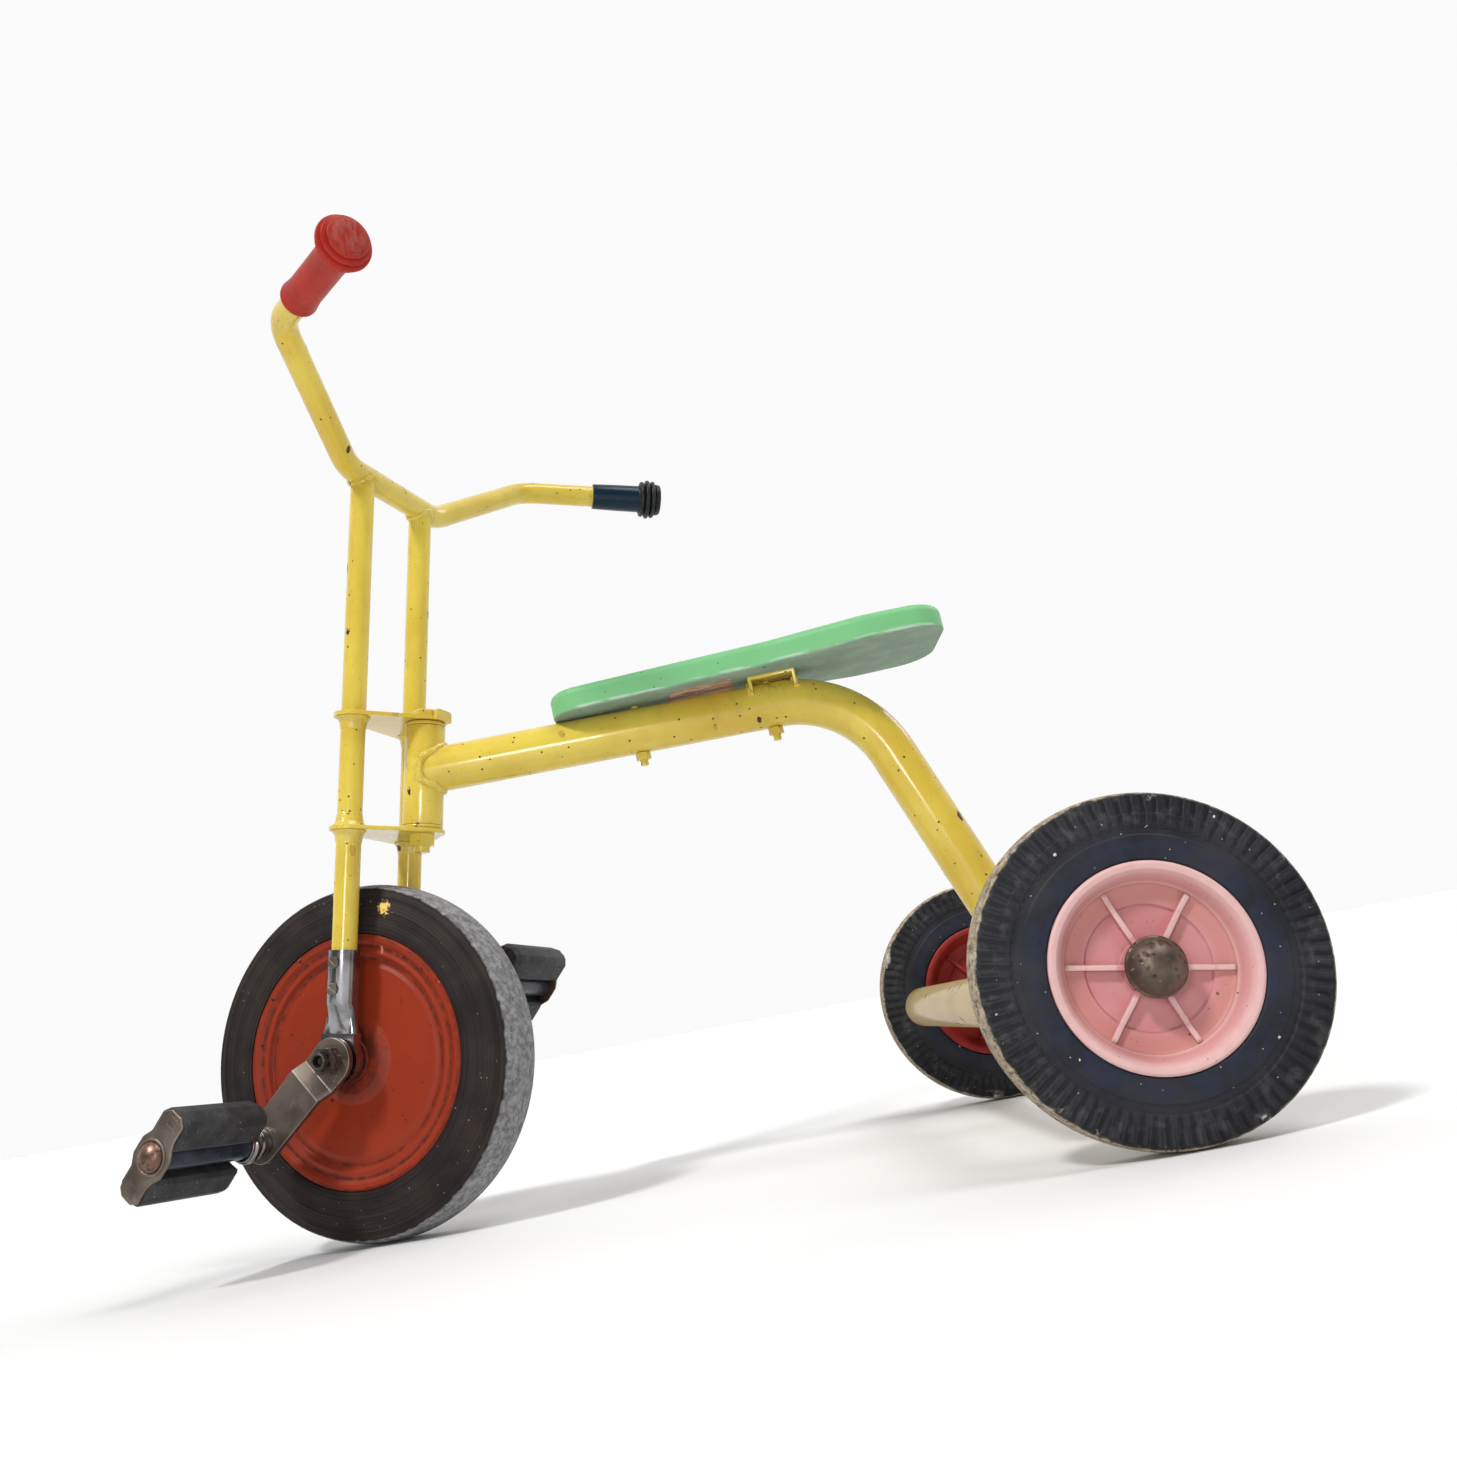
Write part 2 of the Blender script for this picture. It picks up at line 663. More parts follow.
class Finish:
    """One procedural material on object coordinates."""

    def __init__(self, name):
        self.material = bpy.data.materials.new(name)
        self.material.use_nodes = True
        self.tree = self.material.node_tree
        self.shader = next(n for n in self.tree.nodes if n.type == "BSDF_PRINCIPLED")
        self.coords = self.add("ShaderNodeTexCoord", output="Object")

    def put(self, socket, value):
        """Link or set one socket."""
        if isinstance(value, Value):
            self.tree.links.new(value.socket, socket)
        elif socket.type == "RGBA" and len(value) == 3:
            socket.default_value = (*value, 1.0)
        else:
            socket.default_value = value

    def add(self, kind, settings=None, inputs=None, output=0):
        """One node: its settings first, then the values or links of its sockets."""
        node = self.tree.nodes.new(kind)
        for key, value in (settings or {}).items():
            setattr(node, key, value)
        for key, value in (inputs or {}).items():
            self.put(node.inputs[key], value)
        return Value(self, node.outputs[output])

    def spread(self, shift, stretch=(1, 1, 1), coords=None):
        """The coordinates shifted, and squeezed so that a pattern stretches."""
        scale = tuple(1 / s for s in stretch)
        inputs = {"Vector": coords or self.coords, "Location": (shift,) * 3, "Scale": scale}
        return self.add("ShaderNodeMapping", {}, inputs)

    def noise(self, size, detail=3.0, shift=0.0, stretch=(1, 1, 1), rough=0.55, coords=None):
        """Cloudy noise from 0 to 1 with features of about size millimetres."""
        vector = self.spread(shift, stretch, coords)
        inputs = {"Vector": vector, "Scale": 1 / (size * MM), "Detail": detail, "Roughness": rough}
        return self.add("ShaderNodeTexNoise", {}, inputs)

    def spots(self, pitch, radius, share, shift=0.0, coords=None, stretch=(1, 1, 1)):
        """Ragged spots: spacing and radius in millimetres, and the share of places that hold one."""
        cell = (2 * radius * pitch**2) ** (1 / 3)
        ragged = self.noise(radius * 1.2, 2.0, shift + 3.1, coords=coords)
        vector = self.spread(shift, stretch, coords)
        cells = {"Vector": vector, "Scale": 1 / (cell * MM)}
        distance = self.add("ShaderNodeTexVoronoi", {}, cells)
        colour = self.add("ShaderNodeTexVoronoi", {}, cells, output="Color")
        chance = self.add("ShaderNodeSeparateColor", {}, {"Color": colour})
        reach = radius / cell
        size = reach * (0.45 + ragged * 1.1)
        inside = (size - distance).step(0.0, reach * 0.18)
        return inside * chance.math("LESS_THAN", share)

    def mix(self, factor, a, b):
        """Colour a turning into colour b."""
        return self.add("ShaderNodeMix", {"data_type": "RGBA"}, {0: factor, 6: a, 7: b}, output=2)

    def varied(self, cloud, colour, shares, low=0.35):
        """The colour drifting with a cloud towards the given shares of its red, green and blue."""
        return self.mix(cloud.step(low, 0.7), colour, [c * k for c, k in zip(colour, shares)])

    def near(self, point, radius, soft):
        """1 near a point, in metres, and 0 beyond radius plus soft, in millimetres."""
        settings = {"operation": "DISTANCE"}
        distance = self.add("ShaderNodeVectorMath", settings, {0: self.coords, 1: point}, output=1)
        return 1 - distance.step((radius - soft) * MM, (radius + soft) * MM)

    def local(self, place):
        """Object coordinates as seen from a place."""
        inputs = {"Vector": self.coords, "Location": place.translation, "Rotation": place.to_euler()}
        return self.add("ShaderNodeMapping", {"vector_type": "TEXTURE"}, inputs)

    def axes(self, coords=None):
        """The three coordinates as numbers."""
        inputs = {"Vector": coords or self.coords}
        return [self.add("ShaderNodeSeparateXYZ", {}, inputs, output=axis) for axis in "XYZ"]

    def polar(self, place):
        """Radius and height of each point about a place's z axis, in metres."""
        x, y, z = self.axes(self.local(place))
        return (x * x + y * y).math("SQRT"), z

    def facing(self):
        """The three parts of the surface's own direction."""
        normal = self.add("ShaderNodeNewGeometry", output="Normal")
        return self.axes(normal)

    def done(self, base, rough, height=None, depth=0.4, **sockets):
        """Connect the shader: height is bump of depth millimetres, sockets are named."""
        sockets.update(Base_Color=base, Roughness=rough)
        for name, value in sockets.items():
            self.put(self.shader.inputs[name.replace("_", " ")], value)
        if height is not None:
            inputs = {"Strength": 1.0, "Distance": depth * MM, "Height": height}
            self.put(self.shader.inputs["Normal"], self.add("ShaderNodeBump", {}, inputs))
        return self.material


RUST = tone(74, 44, 28)
DARK_RUST = tone(38, 26, 20)
SOOT = tone(28, 24, 22)


def enamel(name, colour, wear=1.0, dirt=0.35, gloss=0.17):
    """Thick brushed enamel on steel: sags, pits, small chips and grime."""
    f = Finish(name)
    cloud = f.noise(70, 3)
    sag = f.noise(16, 2, 5.0, stretch=(1, 1, 2.5))
    grain = f.noise(1.3, 2, 2.0)
    pits = f.spots(13, 0.85, 0.42 * wear, 1.7)
    chips = f.spots(46, 2.6, 0.26 * wear, 9.2, stretch=(1, 1, 1.6))
    flecks = f.spots(7, 0.38, 0.22 * wear, 4.4)
    warm = f.varied(cloud, colour, (0.88, 0.80, 0.60))
    dusty = f.mix(sag.step(0.5, 0.85) * dirt, warm, tone(168, 138, 66))
    bare = (pits + chips).clip()
    halo = f.spots(46, 3.1, 0.26 * wear, 9.2, stretch=(1, 1, 1.6))
    rim = (halo - chips).clip() * 0.5
    stained = f.mix(rim, dusty, tone(160, 118, 50))
    base = f.mix((bare + flecks * 0.8).clip(), stained, f.mix(grain, DARK_RUST, RUST))
    lumps = f.spots(15, 1.1, 0.5, 14.2)
    height = sag * 0.5 + grain * 0.02 + lumps * 0.3 - bare * 0.9 + rim * 0.3 + 0.5
    rough = gloss + cloud * 0.08 + bare * 0.5
    return f, base, height, rough


def paint_material(name, colour, wear=1.0, dirt=0.35, gloss=0.17, grimy=()):
    """Enamel, with grime gathered round the given points in metres."""
    f, base, height, rough = enamel(name, colour, wear, dirt, gloss)
    breakup = f.noise(5, 4, 7.7).step(0.38, 0.66)
    for point, radius in grimy:
        base = f.mix(f.near(point, radius, radius * 0.6) * breakup * 0.62, base, tone(112, 78, 38))
    return f.done(base, rough, height, 0.5, Specular_IOR_Level=0.32, Coat_Weight=0.3, Coat_Roughness=0.07)


def bracket_material(colour):
    """Enamel outside and on the edges of the bridge, rust inside it."""
    low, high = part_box("seat_bracket")
    f, base, height, rough = enamel("bracket_enamel", colour, 1.6, 0.5)
    x, _, z = f.axes()
    middle = (low.x + high.x) / 2
    inside = 1 - (x - middle).math("ABSOLUTE").step(0.0153, 0.0157)
    level = z + (x - middle) * SEAT_UP.x / SEAT_UP.z
    under = 1 - level.step(high.z - 0.0034, high.z - 0.0030)
    rust = f.mix(f.noise(2.4, 5, 2.0).step(0.35, 0.65), tone(58, 38, 26), tone(112, 78, 50))
    base = f.mix(inside * under, base, rust)
    return f.done(base, rough, height, 0.5)


def weld_material(colour):
    """Paint over a weld: the same enamel with rust showing in the hollows."""
    f, base, height, rough = enamel("painted_weld", colour, 1.4, 0.4, 0.16)
    hollows = f.noise(2.6, 3, 1.2).step(0.62, 0.78)
    base = f.mix(hollows * 0.45, base, tone(128, 92, 34))
    height = height + f.noise(2.2, 3, 6.1) * 0.6
    return f.done(base, rough, height, 0.7, Coat_Weight=0.3, Coat_Roughness=0.1)


def seat_material(colour):
    """Green paint on a board: brush marks, a whitish lower edge and a patch worn to bare wood."""
    f = Finish("green_board")
    place = place_at(seat_origin(), SEAT_BACK, SEAT_UP)
    x, y, z = f.axes(f.local(place))
    under = (0 - f.facing()[2]).step(0.25, 0.7)
    cloud = f.noise(60, 3)
    brush = f.noise(9, 4, 3.0, stretch=(7, 1, 1))
    base = f.varied(cloud, colour, (0.90, 0.96, 0.92), 0.3)
    base = f.mix(under, base, f.mix(f.noise(24, 4, 8.0), tone(140, 162, 144), tone(118, 140, 124)))
    streaks = f.noise(3.2, 4, 11.0, stretch=(6, 6, 1)).step(0.44, 0.62)
    low_edge = z.band(0.0016, 0.0026) * streaks * (1 - under * 0.5)
    base = f.mix(low_edge * 0.8, base, tone(186, 206, 188))
    dirt = f.spots(15, 0.8, 0.28, 2.0) + f.spots(34, 1.7, 0.2, 6.0)
    base = f.mix((dirt * 0.8).clip(), base, tone(38, 46, 40))
    lowest = 1 - z.step(0.0015, 0.006)
    back = x * 1000
    side = y.math("ABSOLUTE") * 1000
    along_tube = back.step(74, 100) * (1 - back.step(136, 144))
    around = along_tube * (1 - (side - (back - 74) * 0.2).step(9, 24))
    tear = f.noise(7, 5, 13.0, stretch=(2, 1, 1)) * 1.7 + around * 0.72
    torn = tear.step(1.42, 1.47) * lowest
    layers = f.noise(2.2, 3, 17.0, stretch=(9, 1, 1))
    wood = f.mix(layers.step(0.35, 0.65), tone(228, 194, 172), tone(176, 126, 100))
    base = f.mix(torn, base, wood)
    scraped = tear.step(1.32, 1.42) * lowest
    base = f.mix((scraped - torn).clip() * 0.6, base, tone(206, 96, 70))
    height = brush * 0.35 + cloud * 0.2 - dirt * 0.5 - torn * 1.2 + layers * torn * 0.5 + 1
    rough = 0.36 + under * 0.3 + torn * 0.35 + brush * 0.1
    return f.done(base, rough, height, 0.45, Specular_IOR_Level=0.3)


def steel_material(name, light, dark, rust_share=0.3, shine=0.34, metal=1.0):
    """Bare or plated steel with brush lines, tarnish and some rust."""
    f = Finish(name)
    cloud = f.noise(11, 4)
    lines = f.noise(1.0, 3, 4.0, stretch=(1, 1, 9))
    tarnish = f.noise(26, 5, 8.0).step(0.35, 0.75)
    base = f.mix(tarnish, light, dark)
    patches = f.noise(4.5, 5, 12.0) + f.noise(30, 2, 15.0) * 0.5
    rust = patches.step(1.02 - rust_share * 0.45, 1.12 - rust_share * 0.3)
    base = f.mix(rust, base, f.mix(f.noise(1.5, 3, 18.0), DARK_RUST, RUST))
    scratches = f.noise(2.2, 2, 27.0, stretch=(1, 5, 1)).step(0.69, 0.72)
    scratches = scratches + f.noise(2.6, 2, 29.0, stretch=(5, 1, 1)).step(0.70, 0.73)
    base = f.mix(scratches.clip() * 0.5, base, tone(176, 168, 160))
    pits = f.spots(5, 0.35, 0.25, 3.0)
    rough = shine + cloud * 0.16 + rust * 0.45
    height = lines * 0.18 + cloud * 0.15 + rust * 0.25 - pits * 0.35 + 0.5
    return f.done(base, rough, height, 0.14, Metallic=(1 - rust * 0.8) * metal)


def disc_material(colour, place):
    """Red enamel on the pressed disc: grime in the steps, fine scratches and dark scuffs."""
    f = Finish("disc_enamel")
    radius = f.polar(place)[0] * 1000
    cloud = f.noise(52, 4)
    scuff = f.noise(7, 5, 6.0)
    base = f.varied(cloud, colour, (1.12, 1.15, 1.1))
    rings = (radius.band(82.5, 2.4) + radius.band(73.5, 2.2) * 0.9 + radius.band(89.5, 1.6) * 0.7).clip()
    base = f.mix(rings * scuff.step(0.3, 0.62) * 0.8, base, SOOT)
    scrape = f.noise(5, 3, 31.0, stretch=(1, 1, 6)).step(0.68, 0.72) * f.noise(24, 2, 33.0).step(0.5, 0.6)
    base = f.mix(scrape * 0.65, base, SOOT)
    pale = f.noise(6, 3, 37.0, stretch=(1, 1, 4)).step(0.73, 0.76)
    base = f.mix(pale * 0.6, base, tone(205, 130, 112))
    pits = f.spots(13, 0.7, 0.42, 2.0) + f.spots(30, 1.5, 0.22, 7.0)
    base = f.mix(pits.clip() * 0.85, base, SOOT)
    hub_grime = (1 - radius.step(17, 34)) * scuff.step(0.25, 0.6)
    base = f.mix(hub_grime * 0.75, base, SOOT)
    rough = 0.26 + scuff * 0.2 + rings * 0.15
    height = cloud * 0.35 + f.noise(1.4, 2, 3.0) * 0.08 - pits * 0.5 - scrape * 0.2 + 0.6
    return f.done(base, rough, height, 0.4, Specular_IOR_Level=0.22)


def front_rubber(place, sizes):
    """Smooth brown-black sidewall with fine rings, and a grey scuffed tread."""
    f = Finish("front_rubber")
    radius, across = f.polar(place)
    radius = radius * 1000
    outer = sizes.front_radius / MM
    ragged = f.noise(7, 5, 2.0)
    tread = (radius + ragged * 3.4 - 1.7).step(outer - 4.6, outer - 3.2)
    cloud = f.noise(40, 4, 4.0)
    wall = f.mix(cloud.step(0.3, 0.7), tone(30, 25, 24), tone(48, 40, 37))
    inputs = {"W": radius * 0.55, "Scale": 1.0, "Detail": 3.0}
    rings = f.add("ShaderNodeTexNoise", {"noise_dimensions": "1D"}, inputs)
    wall = f.mix(rings.step(0.48, 0.66) * 0.6, wall, tone(20, 17, 17))
    dust = f.spots(9, 0.5, 0.2, 8.0)
    wall = f.mix(dust * 0.7, wall, tone(150, 146, 140))
    worn = f.mix(f.noise(5, 5, 6.0).step(0.3, 0.7), tone(104, 104, 107), tone(150, 149, 150))
    worn = f.mix(f.noise(1.8, 3, 9.0).step(0.55, 0.75) * 0.7, worn, tone(78, 78, 80))
    worn = f.mix(f.spots(3.4, 0.6, 0.4, 5.0) * 0.8, worn, tone(46, 46, 48))
    base = f.mix(tread, wall, worn)
    left = across.step(0.0, 0.002)
    for angle, out, size in ((-101, 111.0, 6.0), (-79, 122.5, 3.6)):
        turn = math.radians(angle)
        spot = place @ (Vector((out * math.cos(turn), out * math.sin(turn), 21)) * MM)
        frayed = f.noise(2.6, 5, angle * 0.1, rough=0.7)
        blot = (f.near(spot, size, size * 0.9) * 0.5 + frayed * 1.3).step(0.95, 1.0)
        base = f.mix(blot * left * f.near(spot, size + 5, 3.0), base, tone(226, 192, 104))
    rough = 0.48 + tread * 0.36 + cloud * 0.08
    height = rings * 0.35 * (1 - tread) + tread * f.noise(2.2, 4, 7.0) + cloud * 0.2 + 0.3
    return f.done(base, rough, height, 0.7, Specular_IOR_Level=0.16)


def rear_rubber(side, place, sizes):
    """Blue-black sidewall, dusty worn blocks and a tan cracked tread."""
    f = Finish(f"rear_rubber_{side}")
    radius = f.polar(place)[0] * 1000
    outer = sizes.rear_radius / MM
    ragged = f.noise(6, 5, 2.0)
    tread = (radius + ragged * 3.0 - 1.5).step(outer - 2.6, outer - 1.4)
    cloud = f.noise(34, 4, 4.0)
    x, y, _ = f.axes(f.local(place))
    turns = y.math("ARCTAN2", x) * (sizes.block_count / math.tau) + 0.5 + f.noise(12, 2, 41.0) * 0.5
    gaps = 1 - (turns.math("FRACT") - 0.5).math("ABSOLUTE").step(0.12, 0.3)
    zone = (radius + ragged * 9).step(78, 83)
    inner = 1 - (radius + ragged * 14).step(70, 80)
    wall = f.mix(cloud.step(0.3, 0.7), tone(30, 31, 36), tone(46, 46, 50))
    wall = f.mix(gaps * zone * 0.6, wall, tone(16, 16, 19))
    wall = f.mix(inner * f.noise(8, 4, 44.0).step(0.3, 0.7) * 0.8, wall, tone(36, 42, 60))
    smear = f.noise(9, 4, 12.0).step(0.5, 0.72) * radius.step(72, 80)
    wall = f.mix(smear * 0.35, wall, tone(88, 84, 82))
    specks = f.spots(11, 0.4, 0.3, 8.0) * 0.7 + f.spots(32, 1.0, 0.25, 3.0)
    wall = f.mix(specks.clip() * 0.8, wall, tone(206, 202, 196))
    worn = f.mix(f.noise(4, 5, 6.0).step(0.3, 0.7), tone(122, 108, 88), tone(176, 164, 144))
    worn = f.mix(f.noise(2.4, 4, 9.0, stretch=(1, 3, 1)).step(0.55, 0.68) * 0.8, worn, tone(52, 44, 38))
    base = f.mix(tread, wall, worn)
    chalk = f.noise(15, 4, 23.0).step(0.62, 0.72) * radius.step(outer - 9, outer - 3)
    base = f.mix(chalk * 0.7, base, tone(212, 206, 194))
    rough = 0.5 + tread * 0.35 + cloud * 0.1
    height = cloud * 0.3 + tread * f.noise(2.6, 4, 7.0) * 1.2 + f.noise(1.2, 2, 5.0) * 0.1 - gaps * zone * 0.5
    return f.done(base, rough, height, 0.7, Specular_IOR_Level=0.18)


def hub_material(side, place, colours):
    """Moulded plastic, faded pink where the sun reached it, whitish and worn on the rim."""
    f = Finish(f"hub_plastic_{side}")
    radius, out = f.polar(place)
    radius = radius * 1000
    cloud = f.noise(24, 4)
    faded = f.varied(cloud, colours.faded_hub, (1.05, 1.22, 1.2), 0.3)
    wall = radius.step(33, 39) * (1 - radius.step(44, 51))
    faded = f.mix(wall * 0.8, faded, tone(186, 124, 116))
    rim = radius.step(45, 53) * (0.65 + f.noise(7, 3, 3.0) * 0.6)
    tops = out.step(0.0068, 0.0078) * radius.step(17, 19) * (1 - radius.step(45, 47))
    faded = f.mix((rim * 0.75 + tops * 0.8).clip(), faded, tone(208, 176, 172))
    fresh = f.varied(cloud, colours.hub, (1.35, 1.35, 1.35))
    base = f.mix(out.step(-0.003, 0.003), fresh, faded)
    seam = radius.band(34.0, 0.9) * 0.25 + (1 - radius.step(14, 19)) * 0.4
    base = f.mix((seam * f.noise(4, 3, 6.0).step(0.2, 0.6)).clip(), base, tone(120, 62, 60))
    dirt = f.spots(9, 0.4, 0.22, 4.0) + f.spots(22, 0.9, 0.18, 9.0)
    base = f.mix(dirt.clip() * 0.8, base, tone(70, 50, 46))
    height = cloud * 0.2 + f.noise(0.9, 3, 2.0) * 0.16 - dirt * 0.3
    rough = 0.38 + rim * 0.18 + cloud * 0.1
    return f.done(base, rough, height, 0.3, Specular_IOR_Level=0.3)


def plastic_material(name, colour, place, worn_from, gloss=0.3, scuff=tone(190, 150, 146)):
    """Moulded grip plastic, scuffed pale past a height along its own axis."""
    f = Finish(name)
    out = f.polar(place)[1] * 1000
    cloud = f.noise(18, 3)
    marks = f.noise(3.0, 5, 5.0, stretch=(1, 1, 3))
    base = f.varied(cloud, colour, (1.2, 1.3, 1.3), 0.3)
    end = out.step(worn_from, worn_from + 2.5)
    base = f.mix(end * marks.step(0.36, 0.7) * 0.62, base, scuff)
    grime = f.spots(10, 0.5, 0.3, 7.0) + marks.step(0.66, 0.72) * 0.5
    base = f.mix(grime.clip() * 0.6, base, SOOT)
    height = marks * 0.25 + f.noise(0.8, 2, 8.0) * 0.12
    return f.done(base, gloss + marks * 0.2 + end * 0.2, height, 0.22, Specular_IOR_Level=0.2)


def rubber_material(name, colour, gloss=0.55, dust=0.5):
    """Dark moulded rubber with a dusty bloom and light scuffs."""
    f = Finish(name)
    cloud = f.noise(14, 4)
    scuffs = f.noise(2.4, 4, 5.0, stretch=(1, 1, 4)).step(0.58, 0.72)
    base = f.mix(cloud.step(0.35, 0.7), colour, [c * 1.8 + 0.004 for c in colour])
    base = f.mix(scuffs * dust * 0.5, base, tone(132, 130, 128))
    base = f.mix(f.spots(8, 0.5, 0.25, 9.0) * dust, base, tone(186, 184, 180))
    height = f.noise(1.0, 3, 2.0) * 0.25 + cloud * 0.2 - scuffs * 0.1
    rough = gloss + cloud * 0.15 + scuffs * 0.15
    return f.done(base, rough, height, 0.3, Specular_IOR_Level=0.28)

def seat_origin():
    """The underside of the seat board's front end, on the tube's top."""
    return Vector((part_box("seat_board")[1].x - (SEAT_THICK - 6) * MM * SEAT_UP.x, 0, TUBE_TOP))


def make_materials(sizes, colours):
    """Every finish, by its plain name."""
    paint = tuple(colours.paint)
    red, navy = tuple(colours.red_grip), tuple(colours.navy_grip)
    bolt_spot = Vector((REAR_X + 0.15, 0.004, TUBE_TOP - 0.002))
    foot_spot = Vector((REAR_X, 0, REAR_Z))
    MATERIALS.update(
        paint=paint_material("yellow_enamel", paint, grimy=((bolt_spot, 13), (foot_spot, 60))),
        weld=weld_material(paint),
        step=paint_material("step_enamel", tone(166, 140, 66), 1.3, 0.6, 0.4),
        seat=seat_material(tuple(colours.seat)),
        chrome=steel_material("chrome_plate", tone(158, 158, 160), tone(92, 90, 90), 0.12, 0.15),
        steel=steel_material("dull_steel", tone(142, 130, 120), tone(104, 92, 82), 0.18, 0.34),
        rusty=steel_material("rusty_cap", tone(150, 118, 104), tone(92, 68, 58), 0.6, 0.3),
        cap=steel_material("brown_cap", tone(112, 98, 88), tone(64, 52, 44), 0.6, 0.36, 0.8),
        dark=steel_material("dark_steel", tone(110, 104, 98), tone(58, 52, 48), 0.6, 0.4),
        tyre=front_rubber(FRONT_WHEEL["left"], sizes),
        pedal_rubber=rubber_material("pedal_rubber", tone(44, 44, 46)),
        pedal_sleeve=rubber_material("pedal_sleeve", tone(30, 36, 48), 0.22, 0.15),
        black_grip=rubber_material("black_grip", tone(22, 23, 26), 0.35, 0.15),
        bracket=bracket_material(paint),
        red=plastic_material("red_grip", red, grip_place("left"), 89.5, 0.34, tone(150, 92, 86)),
        navy=plastic_material("navy_grip", navy, grip_place("right"), 200.0, 0.12),
    )
    for side in SIDES:
        MATERIALS[f"disc_{side}"] = disc_material(tuple(colours.disc), FRONT_WHEEL[side])
        MATERIALS[f"hub_{side}"] = hub_material(side, REAR_WHEEL[side], colours)
        MATERIALS[f"rear_rubber_{side}"] = rear_rubber(side, REAR_WHEEL[side], sizes)

# ---- the builders, one for each piece or group of like pieces ----


def sizes_of(context):
    return context.scene.tricycle_sizes


def build_frame_tubes(sizes):
    """Main tube, axle tube, step bar and the welds that join them."""
    radius = sizes.main_tube_radius
    level = TUBE_TOP - radius
    reach = (level - STEER_POINT.z) / STEER_AXIS.z
    head = STEER_POINT + STEER_AXIS * reach
    bend_ahead = 0.091
    foot_ahead = 0.005
    route = [
        (head.x + 0.0058, 0, level, 0),
        (REAR_X + bend_ahead, 0, level, 0.082),
        (REAR_X + foot_ahead, 0, REAR_Z + 0.008, 0),
    ]
    main = along("main_tube_painted", eased(route, 28, closed=False), radius, "paint", sides=64)
    fit(main, "frame", "yellow_paint", "paint", "main_tube")

    axle_half = (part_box("rear_axle_tube")[1].y - 0.0002) / MM
    axle = mirrored([(11, -axle_half, 0), (13, -axle_half, 0.6)])
    lathe("rear_axle_tube", "painted", axle, REAR_MIDDLE, "frame", "yellow_paint", "step")

    low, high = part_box("step_tube")
    bar_radius = sizes.step_tube_radius
    leg = high.y - bar_radius
    bar_z = (low.z + high.z) / 2
    bar_x = high.x - bar_radius
    route = [(REAR_X + 0.003, leg, bar_z, 0), (bar_x, leg, bar_z, 0.048)]
    route += [(x, -y, z, corner) for x, y, z, corner in reversed(route)]
    step_bar = along("step_bar_painted", eased(route, 20, closed=False), bar_radius, "step", sides=56)
    fit(step_bar, "frame", "yellow_paint", "step", "step_tube")

    head_line = (STEER_POINT, STEER_AXIS, sizes.head_tube_radius)
    axle_line = ((REAR_X, 0, REAR_Z), (0, 1, 0), 0.013)
    spine = Vector((bend_ahead - foot_ahead, 0, level - REAR_Z))
    head_joint = saddle((head.x - 0.08, 0, level), (1, 0, 0), radius, *head_line, 90, 10)
    foot_joint = saddle((REAR_X + bend_ahead, 0, level), -spine, radius, *axle_line)
    beads = [
        bead(head_joint, sizes.weld_radius * 1.25, 12, 0.0011, 0.006, 3.0),
        bead(foot_joint, sizes.weld_radius, seed=5.0),
    ]
    for sign in SIDES.values():
        leg_joint = saddle((bar_x, sign * leg, bar_z), (-1, 0, 0), bar_radius, *axle_line)
        beads.append(bead(leg_joint, sizes.weld_radius, seed=8.0 + sign))
    fit(merged("frame_welds", *beads), "frame", "yellow_paint", "weld")


def build_head(sizes):
    """Head tube with its flanged bushes, the pivot bolt and its nut."""
    r = sizes.head_tube_radius / MM
    tube = [(12.5, HEAD_LOW, 0), (r, HEAD_LOW, 0.7), (r, HEAD_HIGH, 0.7), (12.5, HEAD_HIGH, 0)]
    lathe("head_tube", "painted", tube, STEERING, "frame", "yellow_paint", "paint")
    flange = [(6.1, -14, 0), (12.4, -14, 0), (12.4, 0.25, 0), (r - 0.2, 0.25, 0.2)]
    flange += [(r + 0.1, 1.2, 0.4), (r - 0.3, 3, 0.8), (6.1, 3, 0)]
    for label, face, side in (("top", HEAD_HIGH, 1), ("bottom", HEAD_LOW, -1)):
        bush = [(radius, face + side * rise, corner) for radius, rise, corner in flange]
        lathe(f"head_bush_{label}", "painted", bush, STEERING, "frame", "yellow_paint", "paint")
    for node in ("steering_bolt", "steering_nut"):
        refit(node, "fork", "yellow_paint", "paint", 0.8, 3)


def seat_outline():
    """The board's outline seen from above, back end last, in millimetres."""
    length = (seat_origin().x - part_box("seat_board")[0].x) / MM / SEAT_UP.z
    half = [(0, 30, 24), (0.56 * length, 42, 120), (0.8 * length, 57, 70), (length, 54, 34)]
    other = [(x, -y, r) for x, y, r in reversed(half)]
    return eased(half + other, steps=12)


